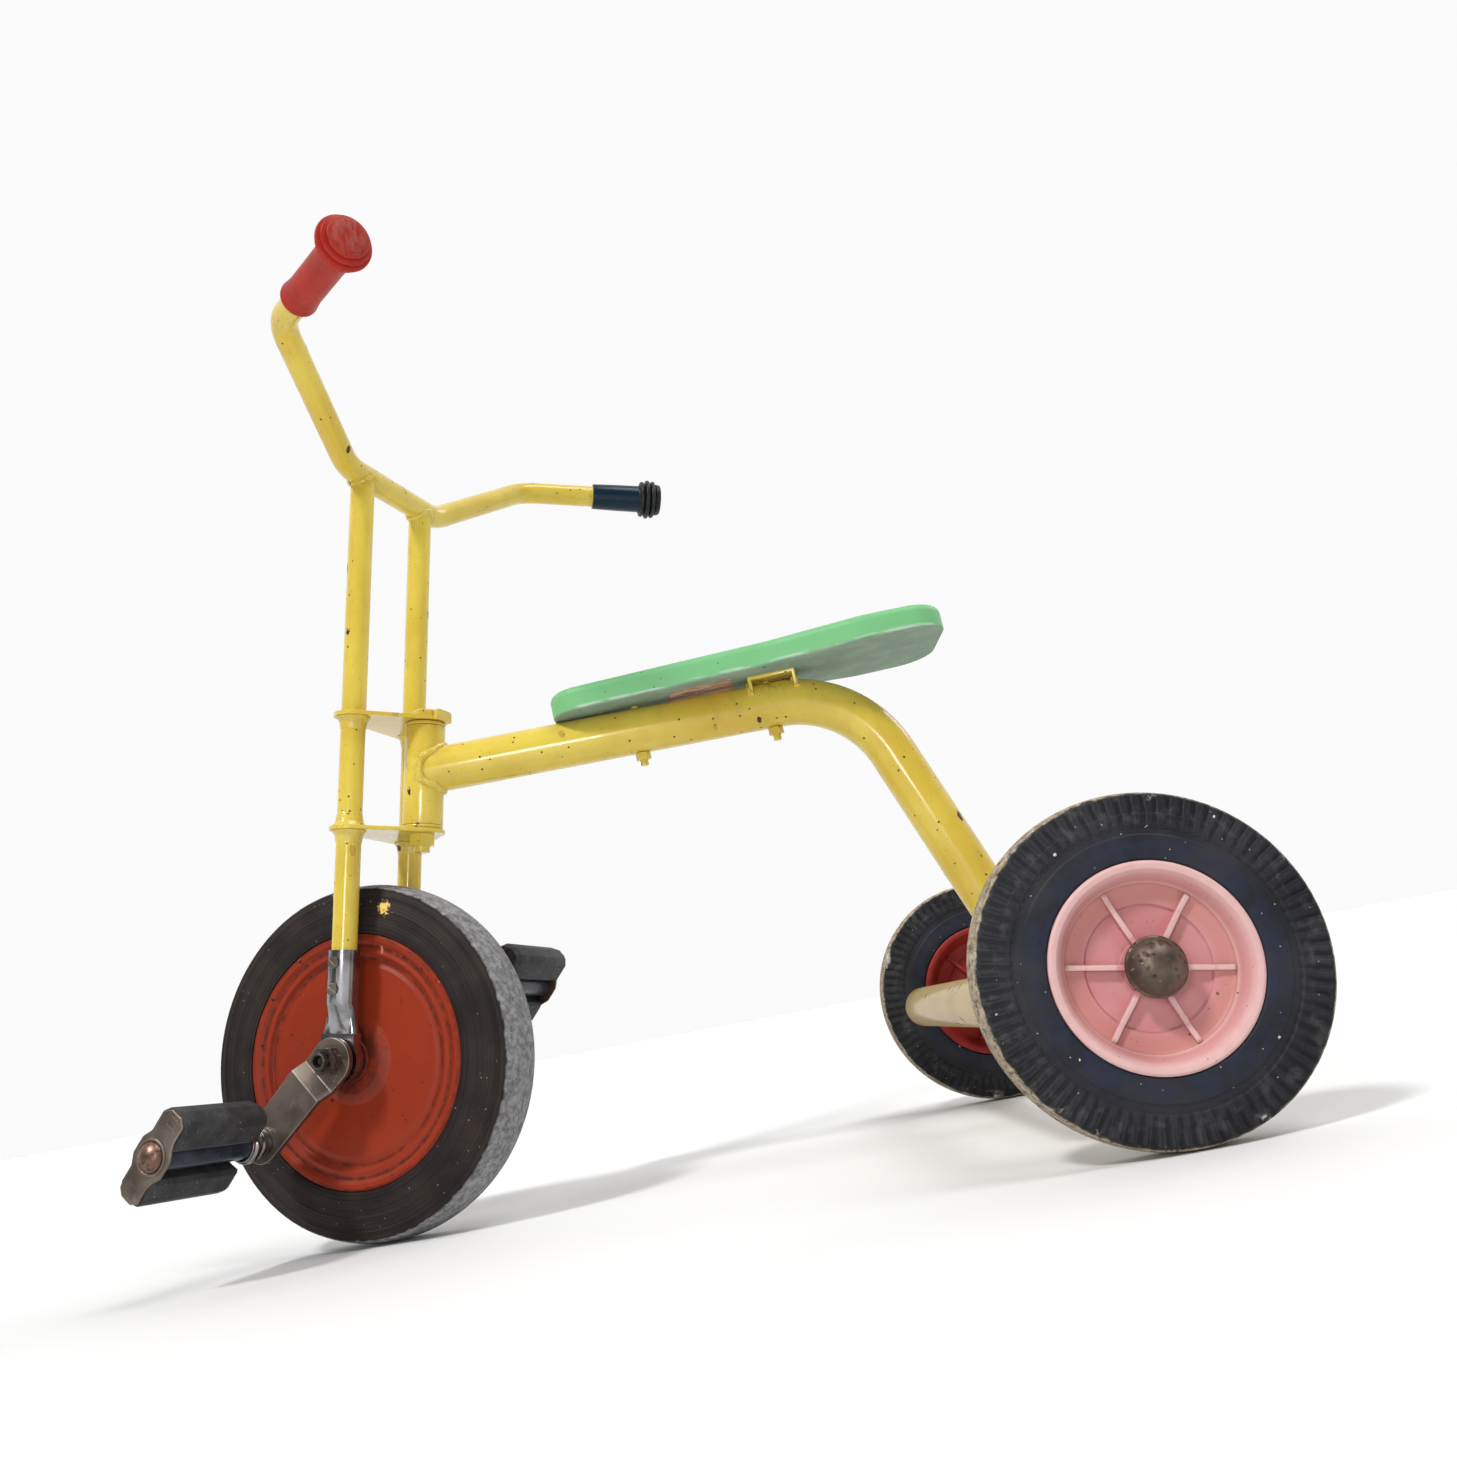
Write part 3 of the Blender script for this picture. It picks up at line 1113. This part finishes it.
def build_seat(sizes):
    """Seat board with its folded bracket, bolts and nuts."""
    place = place_at(seat_origin(), SEAT_BACK, SEAT_UP)
    levels = rounded_levels(0, SEAT_THICK, 2, 6, 6)
    board = thing("seat_board_painted", slab(seat_outline(), levels), place, crease=50)
    low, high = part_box("seat_bolts")
    head_radius = 0.008
    pocket = [(0, 0, 0), (9, 0, 0), (9, 20, 0), (0, 20, 0)]
    cutters = []
    for x in (low.x + head_radius, high.x - head_radius):
        back = place.translation.x - x - head_radius
        base = TUBE_TOP + back * SEAT_UP.x / SEAT_UP.z + (SEAT_THICK / SEAT_UP.z - 3.5) * MM
        cutters.append(thing("pocket", turned(pocket, 48), Matrix.Translation((x, 0, base))))
    pockets = merged("pockets", *cutters)
    cut = board.modifiers.new("pockets", "BOOLEAN")
    cut.object = pockets
    plain(board)
    shade(board, 50)
    bpy.data.objects.remove(pockets)
    fit(board, "frame", "green_wood", "seat", "seat_board")

    low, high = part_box("seat_bracket")
    centre = Vector(((low.x + high.x) / 2, 0, high.z - 0.0095))
    web_place = Matrix.Translation(centre) @ place_at((0, 0, 0), SEAT_BACK, SEAT_UP)
    web = thing("web", block(31.6, 2.4, 15.0, 0.2), web_place)
    parts = [refined("seat_bracket", 0.5), web]
    assemble("seat_bracket", "painted", parts, "frame", "yellow_paint", "bracket")
    refit("seat_nuts", "frame", "yellow_paint", "paint", 0.4)
    refit("seat_bolts", "frame", "yellow_paint", "paint", 0.3)

    radius = sizes.main_tube_radius
    blobs = []
    for x in (low.x + 0.0005, high.x - 0.0005):
        for sign in SIDES.values():
            angles = [math.radians(22 + 44 * k / 12) * sign for k in range(13)]
            path = [(x, radius * math.sin(t), TUBE_TOP - radius + radius * math.cos(t)) for t in angles]
            blobs.append(bead(path, sizes.weld_radius, 12, 0.0015, 0.006, x * 100 + sign, closed=False))
    fit(merged("bracket_welds", *blobs), "frame", "yellow_paint", "weld")


def bar_route():
    """The handlebar from its left tip to its right tip, in metres."""
    half = [(-93, 242, 536, 0), (16, 173, 537, 30), (AXLE_LOCAL.x, 61, CROWN, 45)]
    points = half + [(a, -b, c, r) for a, b, c, r in reversed(half)]
    return [STEERING @ (p * MM) for p in eased(points, 14, closed=False)]


def build_fork(sizes):
    """Fork tubes, yokes, handlebar and their welds."""
    x = AXLE_LOCAL.x
    tube_radius = sizes.fork_tube_radius
    bar = along("handlebar_painted", bar_route(), sizes.bar_radius, "paint", sides=48)
    fit(bar, "fork", "yellow_paint", "paint", "handlebar")
    crown = STEERING @ (Vector((x, 0, CROWN)) * MM)
    lengths = 24
    beads = []
    for side, sign in SIDES.items():
        y = sign * FORK_HALF
        low = STEERING @ (Vector((x, y, AXLE_LOCAL.z + 46)) * MM)
        top = STEERING @ (Vector((x, y, CROWN - 2.5)) * MM)
        path = [low.lerp(top, k / lengths) for k in range(lengths + 1)]
        tube = along(f"fork_tube_{side}_painted", path, tube_radius, "paint", sides=48)
        fit(tube, "fork", "yellow_paint", "paint", f"fork_tube_{side}")
        joint = saddle(low, STEER_AXIS, tube_radius, crown, ACROSS, sizes.bar_radius)
        beads.append(bead(joint, sizes.weld_radius * 0.85, 12, 0.0012, 0.0042, sign))
        column = STEERING @ Matrix.Translation(Vector((x, y, 0)) * MM)
        for height, bulk in ((283.6, 0.9), (279.6, 1.1), (197.8, 1.0), (193.6, 1.0)):
            circle = ring_path(column, tube_radius, height * MM)
            beads.append(bead(circle, sizes.weld_radius * bulk * 0.72, ripple=0.0007, seed=height))
        for plate, way in ((280.4, -1), (197.1, 1), (194.1, -1)):
            flare = [(9.1, 0, 0), (13.2, 0, 0.3), (10.6, 3.2, 3), (9.5, 9.5, 2), (9.1, 10.5, 0)]
            collar = turned([(radius, rise * way, corner) for radius, rise, corner in flare], 48, 4)
            foot = column @ Matrix.Translation(Vector((0, 0, plate)) * MM)
            beads.append(thing("collar", collar, foot, finish="weld"))
    fit(merged("fork_welds", *beads), "fork", "yellow_paint", "weld")
    for node in ("upper_yoke", "lower_yoke"):
        refit(node, "fork", "yellow_paint", "paint", 0.6, 3)


def grip_place(side):
    """The grip's own place: z runs out along the bar, the origin at its inner end."""
    route = bar_route()
    tip, before = (route[0], route[1]) if side == "left" else (route[-1], route[-2])
    out = (tip - before).normalized()
    return place_at(tip - out * GRIP_LENGTH[side] * MM, (0, 0, 1), out)


def build_grips(sizes):
    """The red grip with its stepped cap and the navy grip with its ribbed black end."""
    bore = sizes.bar_radius / MM
    outline = [(bore, 0, 0), (13.1, 0, 0.5), (13.3, 2.2, 0.8), (12.7, 6, 2), (12.1, 14, 4)]
    outline += [(12.0, 40, 0), (12.1, 75.5, 0.8)]
    steps = ((17.4, 75.8, 79.4), (19.0, 79.8, 83.6), (16.9, 84.0, 87.4), (14.2, 87.8, 91.0))
    for radius, low, high in steps:
        outline += [(radius - 2.4, low, 0.3), (radius, low + 0.7, 0.9)]
        outline += [(radius, high - 0.8, 1.1), (radius - 2.6, high, 0.3)]
    outline += [(11.2, 91.2, 0.3), (11.4, 93.0, 1.2), (9.4, 94.3, 2.5)]
    outline += [(0, 94.9, 0), (0, 92, 0), (bore, 92, 0)]
    grip = thing("red_grip", turned(outline, 96, 4), grip_place("left"), crease=50)
    fit(grip, "fork", "red_grip", "red", "grip_left")

    place = grip_place("right")
    outline = [(bore, 0, 0), (11.6, 0, 0.6), (12.1, 20, 8), (12.3, 41.5, 2), (12.3, 43, 0.4), (bore, 43, 0)]
    barrel = thing("navy_barrel", turned(outline, 80, 4), place, finish="navy")
    ribs = [(bore, 42.8, 0), (12.5, 42.8, 0.5), (13.2, 44.5, 0.6)]
    for radius, centre in ((16.4, 46.2), (17.9, 51.2), (17.1, 56.2)):
        ribs += [(12.4, centre - 2.1, 0.4)]
        ribs += arc((radius - 1.9, centre), 1.9, -80, 80, 8)
        ribs += [(12.4, centre + 2.1, 0.4)]
    ribs += [(14.4, 59.4, 0.5), (13.9, 63.6, 2.2), (0, 64.9, 0), (0, 62, 0), (bore, 62, 0)]
    end = thing("ribbed_end", turned(ribs, 80, 3), place, crease=50, finish="black_grip")
    fit(merged("navy_grip", barrel, end), "fork", "navy_grip", None, "grip_right")


def build_fork_ends():
    """Chromed sleeves with flattened eyes, their slotted screws and the axle bushes."""
    for side in SIDES:
        refit(f"fork_end_{side}", "fork", "chrome", "chrome", 0.5, 3)
        refit(f"axle_bush_{side}", "fork", "bare_steel", "steel", 0.3)
    refit("fork_screws", "fork", "chrome", "steel", 0.25)


def build_front_wheel(sizes):
    """Solid tyre, pressed discs, hub, axle and washers."""
    body = "front_wheel"
    left = FRONT_WHEEL["left"]
    outer = sizes.front_radius / MM
    wall = [(outer - 4.4, 21.2, 2.0), (outer - 8.5, 21.6, 1.5), (121.0, 21.9, 1), (119.4, 22.9, 0.8)]
    wall += [(118.0, 22.4, 0.6), (110.4, 24.0, 0.8), (109.4, 24.7, 0.5), (108.2, 24.2, 0.5)]
    wall += [(100, 25.3, 1), (96, 25.9, 1.6), (91.6, 25.7, 0.8), (91.4, 23.0, 0.2), (85, 23.0, 0.2)]
    wall += [(82, 19.0, 0.2), (79.2, 19.0, 0)]
    tyre = crowned(outer, 19.3, 16) + mirrored(wall)
    lathe("front_tyre", "rubber", tyre, left, body, "front_rubber", "tyre", 144, crease=60)

    pressed = [(91.0, 24.8, 0.5), (89.4, 26.0, 0.9), (86.2, 25.8, 1.2), (83.6, 23.6, 0.9)]
    pressed += [(80.2, 23.6, 1.2), (77.4, 24.4, 1.2), (75.0, 21.2, 1.2), (71.2, 20.9, 1.4)]
    pressed += [(68.0, 22.0, 3), (48, 22.6, 14), (32, 23.2, 4), (24, 26.2, 4), (16.1, 27.0, 0)]
    sheet = 1.5
    disc = pressed + [(r, z - sheet, 0) for r, z, _ in reversed(pressed)]
    for side, place in FRONT_WHEEL.items():
        finish = f"disc_{side}"
        lathe(f"front_disc_{side}", "enamel", disc, place, body, "red_disc", finish, 144, 4, 60)
    hub = mirrored([(6.2, -29.9, 0), (16, -29.9, 0.8)])
    lathe("front_hub", "enamel", hub, left, body, "red_disc", "disc_left")
    axle = mirrored([(0, -60.5, 0), (3.4, -61, 0.6), (4.3, -66.9, 0.4), (6, -66.6, 0.7)])
    lathe("front_axle", "steel", axle, left, body, "bare_steel", "dark", 48)
    refit("hub_washers", body, "bare_steel", "steel", 0.25)


def build_cranks():
    """Flat cranks with their nuts."""
    for side in SIDES:
        refit(f"crank_{side}", "front_wheel", "bare_steel", "steel", 0.7, 3)
    refit("crank_nuts", "front_wheel", "bare_steel", "dark", 0.7, 3)


def pedal_place(side):
    """The pedal's own place: z runs out along the spindle from the crank's outer face."""
    axis = ACROSS * SIDES[side]
    foot = Vector(JOINTS[f"pedal_{side}_spin"]["pos_m"])
    foot = foot - axis * ((foot - FRONT_AXLE).dot(axis) - PEDAL_FACE * MM)
    turn = Matrix.Rotation(math.radians(-PEDAL_TURN * SIDES[side]), 4, "Z")
    return place_at(foot, FORWARD, axis) @ turn


def pedal_block(toward):
    """One rubber block: a hexagonal bar with raised edges and a tapered inner end."""
    section = [(10.6, -9.6, 0.8), (13.6, -12, 1.2), (27, -12, 1.2), (32, -8.4, 1.0), (34.6, 0, 2.2)]
    section += [(x, -y, corner) for x, y, corner in reversed(section[:-1])]
    outline = [Vector((toward * p.x, p.y)) for p in eased(section, 3)]
    levels = [(3.2, 22), (2.2, 22.6), (0.4, 27), (0, 28.2), (0, 102.6), (0.5, 103.7), (1.4, 104)]
    return slab(outline, levels)


def plate_outline():
    """The outer plate: a lozenge, wide round the spindle, with cut corners at its ends."""
    quarter = [(33, 0, 0), (33, 4.6, 2.2), (29.0, 9.4, 2.4), (17.6, 9.4, 4), (12.8, 10.6, 4)]
    quarter += [(6.4, 14.0, 4), (0, 14.2, 0)]
    right = quarter + [(-x, y, r) for x, y, r in reversed(quarter[:-1])]
    whole = right + [(-x, -y, r) for x, y, r in right[1:-1]]
    return eased(whole, 3)


def raised_frame(length, width, line=1.1):
    """A thin raised rectangle, pressed up from the plate."""
    bars = [(0, width, length, line), (0, -width, length, line)]
    bars += [(length / 2, 0, line, 2 * width), (-length / 2, 0, line, 2 * width)]
    return joined(
        *(moved(block(a + line, b, 0.9, 0.35), Matrix.Translation((x, y, 0))) for x, y, a, b in bars)
    )


def build_pedals():
    """Both pedals: spindle, chrome cup, sleeve, rubber blocks, outer plate and cap."""
    spindle = [(0, -4.9, 0), (4.9, -4.9, 0), (4.9, 0, 0), (10.5, 0.1, 0.8), (10.4, 7.4, 0.8)]
    spindle += [(9.2, 8.2, 0.4), (9.2, 9.4, 0.4), (9.5, 10.9, 0.4), (5, 10.9, 0), (5, 106.6, 0.4)]
    spindle += [(0, 106.6, 0)]
    cup = [(5.1, 11.5, 0), (10.4, 11.5, 0.6), (10.6, 13.2, 0.5), (12.9, 13.6, 0.8), (12.9, 17.6, 0.9)]
    cup += [(11.2, 18.4, 0.5), (11.2, 20.6, 0.5), (5.1, 20.6, 0)]
    sleeve = [(5.1, 20.4, 0), (9.2, 20.4, 0.6), (9.45, 24, 1), (9.45, 103.9, 0.3), (5.1, 103.9, 0)]
    ring = [(9.9, 105.6, 0), (12.1, 105.6, 0.2), (12.0, 106.8, 0.5), (10.6, 107.0, 0.4), (9.9, 106.2, 0)]
    cap = [(0, 106.7, 0), (9.9, 106.2, 0.3)] + dome(9.9, 5.4, 106.5, 10)
    rubber = "pedal_rubber"
    for side in SIDES:
        body = f"pedal_{side}"
        place = pedal_place(side)
        lathe(f"pedal_spindle_{side}", "chrome", spindle, place, "front_wheel", "chrome", "chrome")
        lathe(f"pedal_cup_{side}", "chrome", cup, place, body, "chrome", "chrome", 72)
        lathe(f"pedal_sleeve_{side}", "smooth", sleeve, place, body, "pedal_sleeve", "pedal_sleeve", 72)

        parts = []
        for toward in (1, -1):
            parts.append(thing("block", pedal_block(toward), place, crease=28, finish=rubber))
            for face in (1, -1):
                rib = moved(block(1.0, 0.9, 70, 0.25), Matrix.Translation((toward * 15.0, face * 11.6, 66)))
                parts.append(repeated("fine_rib", rib, place, rubber, 6, step=(toward * 2.1, 0, 0)))
            bar = moved(block(1.0, 5.4, 1.1, 0.3), Matrix.Translation((toward * 33.35, 0, 34)))
            parts.append(repeated("cross_bar", bar, place, rubber, 17, step=(0, 0, 4.0)))
        assemble(f"pedal_blocks_{side}", "rubber", parts, body, "pedal_rubber", rubber)

        levels = rounded_levels(104.05, 105.9, 0.2, 0.7, 3)
        parts = [thing("plate", slab(plate_outline(), levels), place)]
        for toward in (1, -1):
            ridge = moved(raised_frame(6.4, 3.6), Matrix.Translation((toward * 26.0, 0, 105.7)))
            parts.append(thing("raised", ridge, place))
        parts.append(thing("ring", turned(ring, 64), place))
        assemble(f"pedal_plate_{side}", "steel", parts, body, "bare_steel", "steel")
        lathe(f"pedal_cap_{side}", "domed", cap, place, body, "rusty_steel", "rusty", crease=60)


def hub_outline():
    """The moulded hub turned about its axis: boss, stepped web, dish and rim, alike on both faces."""
    face = [(6.1, 15.9, 0), (13.0, 15.9, 0.6), (14.0, 15.0, 0.8), (14.6, 3.4, 1.2), (33, 2.6, 0.6)]
    face += [(34.2, 4.2, 0.6), (44.5, 5.6, 3), (49.5, 15.5, 2.5), (51.8, 18.4, 1.2), (54.6, 18.9, 1.0)]
    face += [(56.2, 18.2, 0.8), (56.2, 15.1, 0.2), (52, 15.1, 0)]
    return mirrored(face)


def rib_outline():
    """A rib seen from the side: radius out along x, height along y."""
    points = [(13.2, 1.0, 0), (44.6, 1.0, 0), (45.4, 6.4, 0), (43.6, 9.0, 1.6), (36, 7.6, 4)]
    points += [(17.5, 8.8, 2), (13.2, 11.2, 0)]
    return eased(points, 3)


def build_rear_wheels(sizes):
    """Hubs with ribs, solid tyres with shoulder blocks, spacers and domed caps."""
    outer = sizes.rear_radius / MM
    ribs, blocks = sizes.rib_count, sizes.block_count
    upright = Matrix.Rotation(math.pi / 2, 4, "X")
    turned_over = Matrix.Rotation(math.pi, 4, "X")
    wall = [(outer - 2.9, 14.4, 1.2), (outer - 8.6, 15.4, 1), (82.5, 16.0, 0.8), (81.6, 16.6, 0.4)]
    wall += [(76.0, 17.3, 0.6), (74.8, 16.6, 0.6), (70.8, 17.2, 0.6), (69.8, 18.0, 0.6), (62, 18.3, 1.4)]
    wall += [(57.6, 18.0, 1.0), (56.6, 17.0, 0.4), (56.5, 14.7, 0), (52.2, 14.7, 0)]
    tyre = crowned(outer, 13.2, 12) + mirrored(wall)
    cap = [(0, 17, 0), (6, 17, 0), (15.6, 16.6, 0.3), (16.4, 17.0, 0.5), (16.4, 18.9, 0.8)]
    cap += dome(15.5, 9.8, 19.4, 14)
    for side, place in REAR_WHEEL.items():
        body = f"rear_wheel_{side}"
        plastic, rubber = f"hub_{side}", f"rear_rubber_{side}"
        rib_place = place @ Matrix.Rotation(-RIB_TURN, 4, "Z")
        parts = [thing("hub", turned(hub_outline(), 120), place, crease=50, finish=plastic)]
        for turns in ([upright], [upright, turned_over]):
            rib = moved(slab(rib_outline(), rounded_levels(-1.5, 1.5, 0.5, 0.5, 2)), *turns)
            parts.append(repeated("ribs", rib, rib_place, plastic, ribs, math.tau / ribs))
        assemble(f"rear_hub_{side}", "moulded", parts, body, "hub_plastic", plastic)

        parts = [thing("tyre", turned(tyre, 144), place, crease=60, finish=rubber)]
        for sign in (1, -1):
            lump = moved(block(17.0, 3.9, 1.4, 0.5), Matrix.Rotation(math.radians(5 * sign), 4, "Y"))
            lump = moved(lump, Matrix.Translation((outer - 12.6, 0, sign * 15.6)))
            parts.append(repeated("blocks", lump, place, rubber, blocks, math.tau / blocks))
        assemble(f"rear_tyre_{side}", "rubber", parts, body, "rear_rubber", rubber)
        lathe(f"hub_cap_{side}", "domed", cap, place, "frame", "rusty_steel", "cap", 80, crease=50)
    refit("rear_spacers", "frame", "bare_steel", "steel", 0.4)
    refit("rear_axle_rod", "frame", "bare_steel", "dark", 0.4)
    refit("rear_axle_bushes", "frame", "bare_steel", "dark", 0.2)


def build_stage():
    """Pale floor, soft lights and the camera."""
    mesh = bpy.data.meshes.new("floor")
    reach = 400.0
    corners = [(x * reach, y * reach, 0) for x, y in ((-1, -1), (1, -1), (1, 1), (-1, 1))]
    mesh.from_pydata(corners, [], [(0, 1, 2, 3)])
    floor = linked("floor", mesh)
    f = Finish("pale_floor")
    mottled = f.mix(f.noise(400, 2), (0.70, 0.70, 0.695), (0.74, 0.74, 0.735))
    mesh.materials.append(f.done(mottled, 0.7))

    world = bpy.data.worlds.new("studio")
    world.use_nodes = True
    tree = world.node_tree
    background = next(n for n in tree.nodes if n.type == "BACKGROUND")
    direction = tree.nodes.new("ShaderNodeTexCoord").outputs["Generated"]
    parts = tree.nodes.new("ShaderNodeSeparateXYZ")
    glow = tree.nodes.new("ShaderNodeMapRange")
    glow.interpolation_type = "SMOOTHSTEP"
    for name, value in (("From Min", -0.35), ("From Max", 0.35), ("To Min", 0.96), ("To Max", 0.14)):
        glow.inputs[name].default_value = value
    tree.links.new(direction, parts.inputs[0])
    tree.links.new(parts.outputs["Y"], glow.inputs["Value"])
    tree.links.new(glow.outputs[0], background.inputs["Strength"])
    background.inputs["Color"].default_value = (1.0, 1.0, 1.0, 1.0)
    scene = bpy.context.scene
    scene.world = world
    scene.view_settings.view_transform = "Standard"

    for name, toward, width, power in (
        ("key", (0.8, 1.1, 1.5), 9, 2.1),
        ("overhead", (-0.5, 0.3, 1.0), 30, 1.2),
        ("rim", (-1.0, -0.6, 0.8), 20, 0.3),
    ):
        lamp = bpy.data.lights.new(name, "SUN")
        lamp.energy = power
        lamp.angle = math.radians(width)
        holder = linked(name, lamp)
        holder.rotation_euler = Vector(toward).to_track_quat("Z", "Y").to_euler()

    lamp = bpy.data.lights.new("front", "AREA")
    lamp.energy = 4.0
    lamp.size = 0.22
    front = linked("front", lamp)
    front.location = (0.22, 1.35, 0.32)
    front.rotation_euler = (front.location - Vector((0, 0, 0.25))).to_track_quat("Z", "Y").to_euler()

    camera = linked("camera", bpy.data.cameras.new("camera"))
    camera.data.lens = 33.36
    camera.data.shift_x = 0.0494
    camera.data.shift_y = -0.0023
    camera.data.clip_start = 0.05
    camera.location = (-0.0508, 1.00525, 0.10626)
    camera.rotation_euler = [math.radians(a) for a in (103.0424, 10.3229, -176.1488)]
    scene.camera = camera


# ---- operators, one for each piece or group ----


class TRICYCLE_OT_finishes(bpy.types.Operator):
    """Make every finish"""

    bl_idname = "tricycle.finishes"
    bl_label = "Finishes"

    def execute(self, context):
        scene = context.scene
        make_materials(scene.tricycle_sizes, scene.tricycle_colours)
        return {"FINISHED"}


class TRICYCLE_OT_frame_tubes(bpy.types.Operator):
    """Build the main tube, axle tube, step bar and their welds"""

    bl_idname = "tricycle.frame_tubes"
    bl_label = "Frame tubes"

    def execute(self, context):
        build_frame_tubes(sizes_of(context))
        return {"FINISHED"}


class TRICYCLE_OT_head(bpy.types.Operator):
    """Build the head tube, its bushes, the pivot bolt and its nut"""

    bl_idname = "tricycle.head"
    bl_label = "Steering head"

    def execute(self, context):
        build_head(sizes_of(context))
        return {"FINISHED"}


class TRICYCLE_OT_seat(bpy.types.Operator):
    """Build the seat board with its bracket and fasteners"""

    bl_idname = "tricycle.seat"
    bl_label = "Seat"

    def execute(self, context):
        build_seat(sizes_of(context))
        return {"FINISHED"}


class TRICYCLE_OT_fork(bpy.types.Operator):
    """Build the fork tubes, yokes, handlebar and their welds"""

    bl_idname = "tricycle.fork"
    bl_label = "Fork and handlebar"

    def execute(self, context):
        build_fork(sizes_of(context))
        return {"FINISHED"}


class TRICYCLE_OT_grips(bpy.types.Operator):
    """Build the two grips"""

    bl_idname = "tricycle.grips"
    bl_label = "Grips"

    def execute(self, context):
        build_grips(sizes_of(context))
        return {"FINISHED"}


class TRICYCLE_OT_fork_ends(bpy.types.Operator):
    """Build the chromed fork ends with their screws and bushes"""

    bl_idname = "tricycle.fork_ends"
    bl_label = "Fork ends"

    def execute(self, context):
        build_fork_ends()
        return {"FINISHED"}


class TRICYCLE_OT_front_wheel(bpy.types.Operator):
    """Build the front tyre, discs, hub, axle and washers"""

    bl_idname = "tricycle.front_wheel"
    bl_label = "Front wheel"

    def execute(self, context):
        build_front_wheel(sizes_of(context))
        return {"FINISHED"}


class TRICYCLE_OT_cranks(bpy.types.Operator):
    """Build the cranks and their nuts"""

    bl_idname = "tricycle.cranks"
    bl_label = "Cranks"

    def execute(self, context):
        build_cranks()
        return {"FINISHED"}


class TRICYCLE_OT_pedals(bpy.types.Operator):
    """Build both pedals"""

    bl_idname = "tricycle.pedals"
    bl_label = "Pedals"

    def execute(self, context):
        build_pedals()
        return {"FINISHED"}


class TRICYCLE_OT_rear_wheels(bpy.types.Operator):
    """Build the rear wheels with their caps and axle fittings"""

    bl_idname = "tricycle.rear_wheels"
    bl_label = "Rear wheels"

    def execute(self, context):
        build_rear_wheels(sizes_of(context))
        return {"FINISHED"}


class TRICYCLE_OT_stage(bpy.types.Operator):
    """Set up the floor, lights and camera"""

    bl_idname = "tricycle.stage"
    bl_label = "Stage"

    def execute(self, context):
        build_stage()
        return {"FINISHED"}


OPERATORS = (
    TRICYCLE_OT_stage,
    TRICYCLE_OT_finishes,
    TRICYCLE_OT_frame_tubes,
    TRICYCLE_OT_head,
    TRICYCLE_OT_seat,
    TRICYCLE_OT_fork,
    TRICYCLE_OT_grips,
    TRICYCLE_OT_fork_ends,
    TRICYCLE_OT_front_wheel,
    TRICYCLE_OT_cranks,
    TRICYCLE_OT_pedals,
    TRICYCLE_OT_rear_wheels,
)


class TRICYCLE_PT_panel(bpy.types.Panel):
    """Sidebar panel with the sizes, the colours and a button for each group of pieces"""

    bl_idname = "TRICYCLE_PT_panel"
    bl_label = "Tricycle"
    bl_space_type = "VIEW_3D"
    bl_region_type = "UI"
    bl_category = "Tricycle"

    def draw(self, context):
        for group in (context.scene.tricycle_sizes, context.scene.tricycle_colours):
            for name in group.bl_rna.properties.keys():
                if name not in ("name", "rna_type"):
                    self.layout.prop(group, name)
        for operator in OPERATORS:
            self.layout.operator(operator.bl_idname)


CLASSES = (TricycleSizes, TricycleColours, *OPERATORS, TRICYCLE_PT_panel)


def register():
    for cls in CLASSES:
        bpy.utils.register_class(cls)
    bpy.types.Scene.tricycle_sizes = PointerProperty(type=TricycleSizes)
    bpy.types.Scene.tricycle_colours = PointerProperty(type=TricycleColours)


def unregister():
    del bpy.types.Scene.tricycle_colours
    del bpy.types.Scene.tricycle_sizes
    for cls in reversed(CLASSES):
        bpy.utils.unregister_class(cls)


def main():
    register()
    for operator in OPERATORS:
        group, name = operator.bl_idname.split(".")
        getattr(getattr(bpy.ops, group), name)()
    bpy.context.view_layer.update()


if __name__ == "__main__":
    main()
